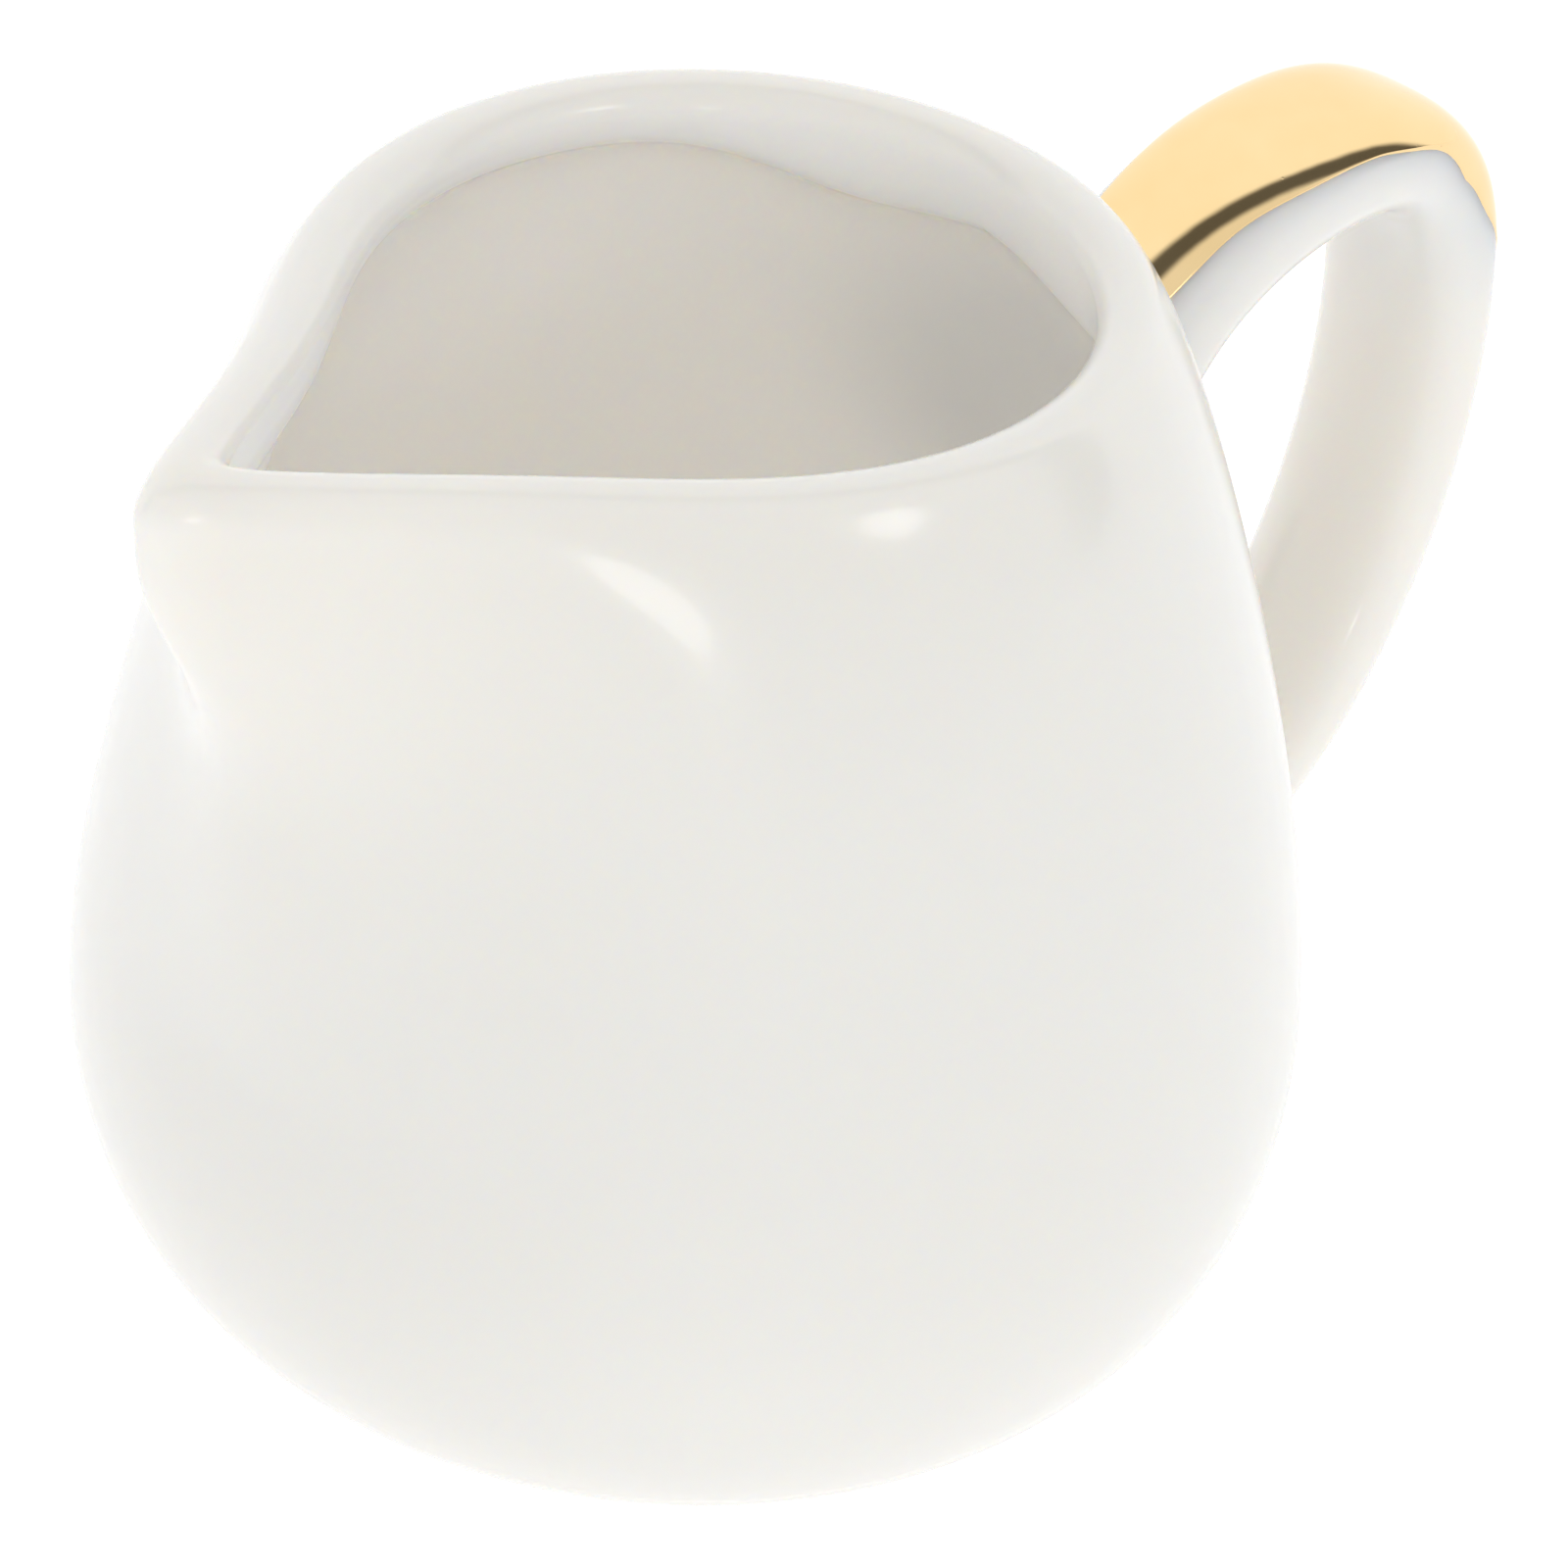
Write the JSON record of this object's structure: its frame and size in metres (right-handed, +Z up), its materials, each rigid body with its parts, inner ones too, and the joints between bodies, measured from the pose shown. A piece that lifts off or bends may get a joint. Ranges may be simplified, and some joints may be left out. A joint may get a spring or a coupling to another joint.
{
  "type": "cream jug",
  "caption": "Small porcelain cream jug with a round belly, pulled spout, looped side handle and a gilded band over the handle's bend.",
  "frame": {"origin": "centre of the foot ring on the plane that the jug stands on, on the axis of the round body", "axes": "+X from the body's axis towards the handle, -X towards the spout; +Z up; the XZ plane is the plane of symmetry"},
  "size_m": [0.1101, 0.074, 0.0731],
  "materials": {
    "porcelain": "glossy white porcelain",
    "clear_glaze": "glossy clear glaze over white",
    "slip": "glossy, glazed over",
    "bisque": "matt unglazed",
    "gold": "burnished bright gold film"
  },
  "bodies": {
    "root": {"vessel_body": "porcelain", "vessel_glaze": "clear_glaze", "foot_ring": "bisque", "base_glaze": "clear_glaze", "handle": "porcelain", "handle_glaze": "clear_glaze", "upper_handle_joint": "slip", "lower_handle_joint": "slip", "handle_gilding": "gold"}
  },
  "joints": []
}
